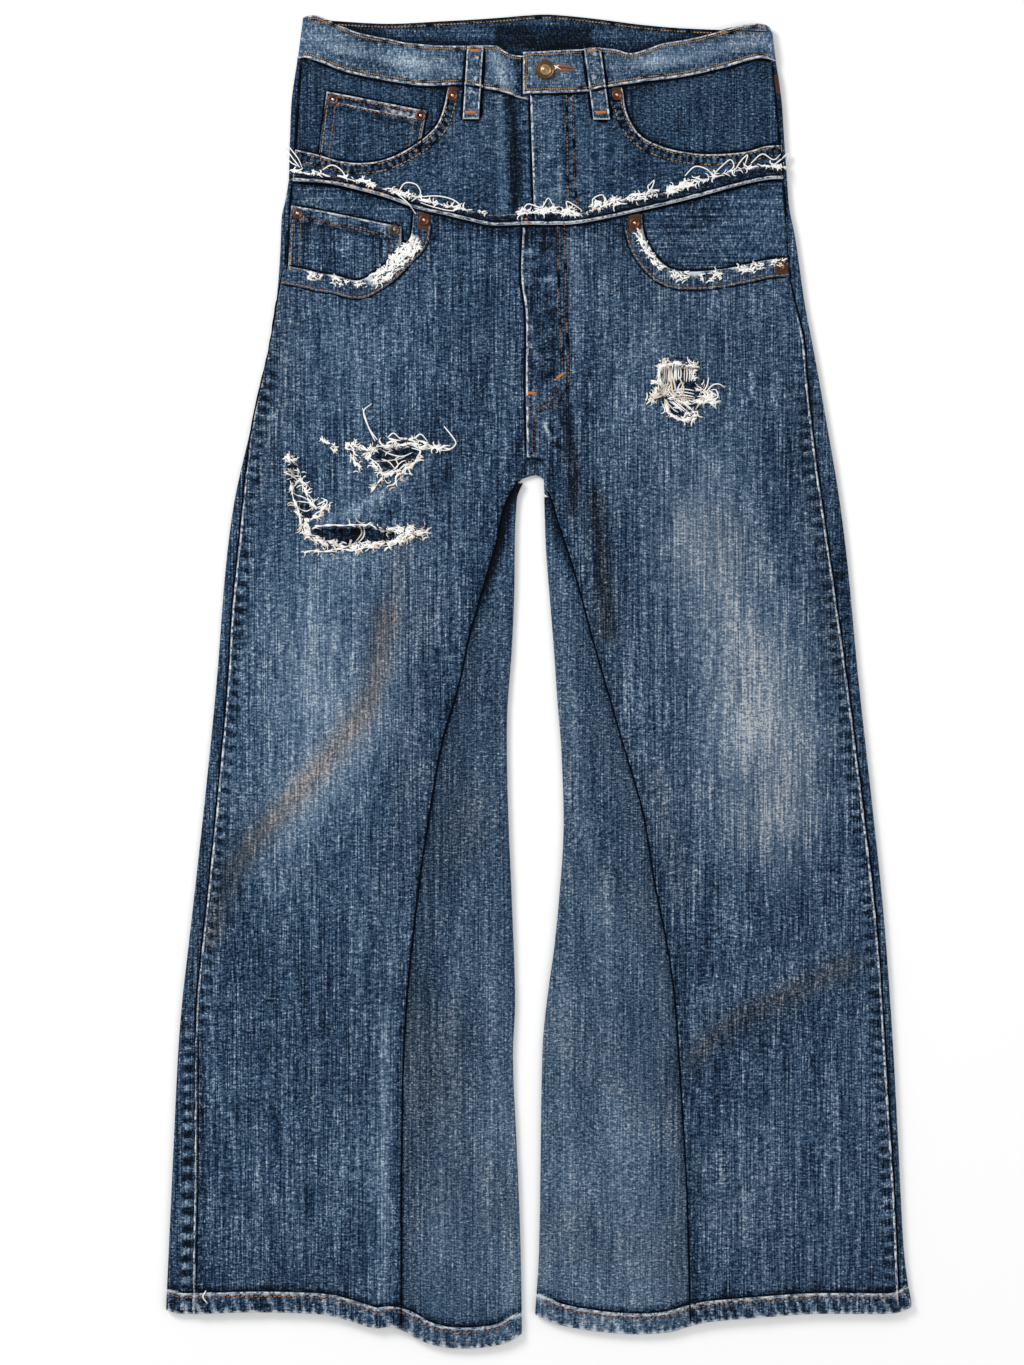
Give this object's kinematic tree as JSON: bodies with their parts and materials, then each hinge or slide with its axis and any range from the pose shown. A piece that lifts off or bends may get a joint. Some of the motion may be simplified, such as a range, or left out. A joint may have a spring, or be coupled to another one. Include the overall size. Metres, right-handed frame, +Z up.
{
  "type": "ripped jeans",
  "caption": "Wide flared blue jeans laid flat on the back, with a second waist sewn into a frayed cut top, inset godets, ripped thighs, a shut fly and a metal button.",
  "frame": {"origin": "on the surface that the jeans lie on, under the middle of their outline", "axes": "+Y up the garment from the hems to the waist, +X to the wearer's left, +Z up out of the surface"},
  "size_m": [0.656, 1.1715, 0.0128],
  "materials": {
    "denim_lower": "stonewashed indigo twill with whiskers, slubs and faded thighs",
    "denim_upper": "stonewashed indigo twill, a little greener than the legs",
    "denim_godet": "paler, greyer worn indigo twill",
    "denim_unfaded": "dark unfaded indigo twill with a raw edge",
    "cotton_thread": "undyed cotton weft and topstitch thread",
    "antique_brass": "darkened antique brass",
    "copper": "tarnished copper"
  },
  "bodies": {
    "root": {"front_right": "denim_lower", "front_left": "denim_lower", "back_right": "denim_lower", "back_left": "denim_lower", "yoke_right": "denim_lower", "yoke_left": "denim_lower", "godet_right": "denim_godet", "godet_left": "denim_godet", "pocket_facing_upper_right": "denim_upper", "pocket_facing_upper_left": "denim_upper", "pocket_facing_right": "denim_lower", "pocket_facing_left": "denim_lower", "coin_pocket_upper": "denim_upper", "coin_pocket": "denim_lower", "front_upper_right": "denim_upper", "front_upper_left": "denim_upper", "back_upper_right": "denim_upper", "back_upper_left": "denim_upper", "join_strip_right": "denim_unfaded", "join_strip_left": "denim_unfaded", "join_strip_back": "denim_unfaded", "waistband": "denim_upper", "back_pocket_right": "denim_lower", "back_pocket_left": "denim_lower", "belt_loop_right": "denim_upper", "belt_loop_left": "denim_upper", "belt_loop_back": "denim_upper", "belt_loop_back_right": "denim_upper", "belt_loop_back_left": "denim_upper", "waist_button": "antique_brass", "rivet_coin_upper_outer": "copper", "rivet_coin_upper_inner": "copper", "rivet_upper_right": "copper", "rivet_upper_left": "copper", "rivet_coin_outer": "copper", "rivet_coin_inner": "copper", "rivet_right": "copper", "rivet_left": "copper", "rivet_side_left": "copper"}
  },
  "joints": []
}
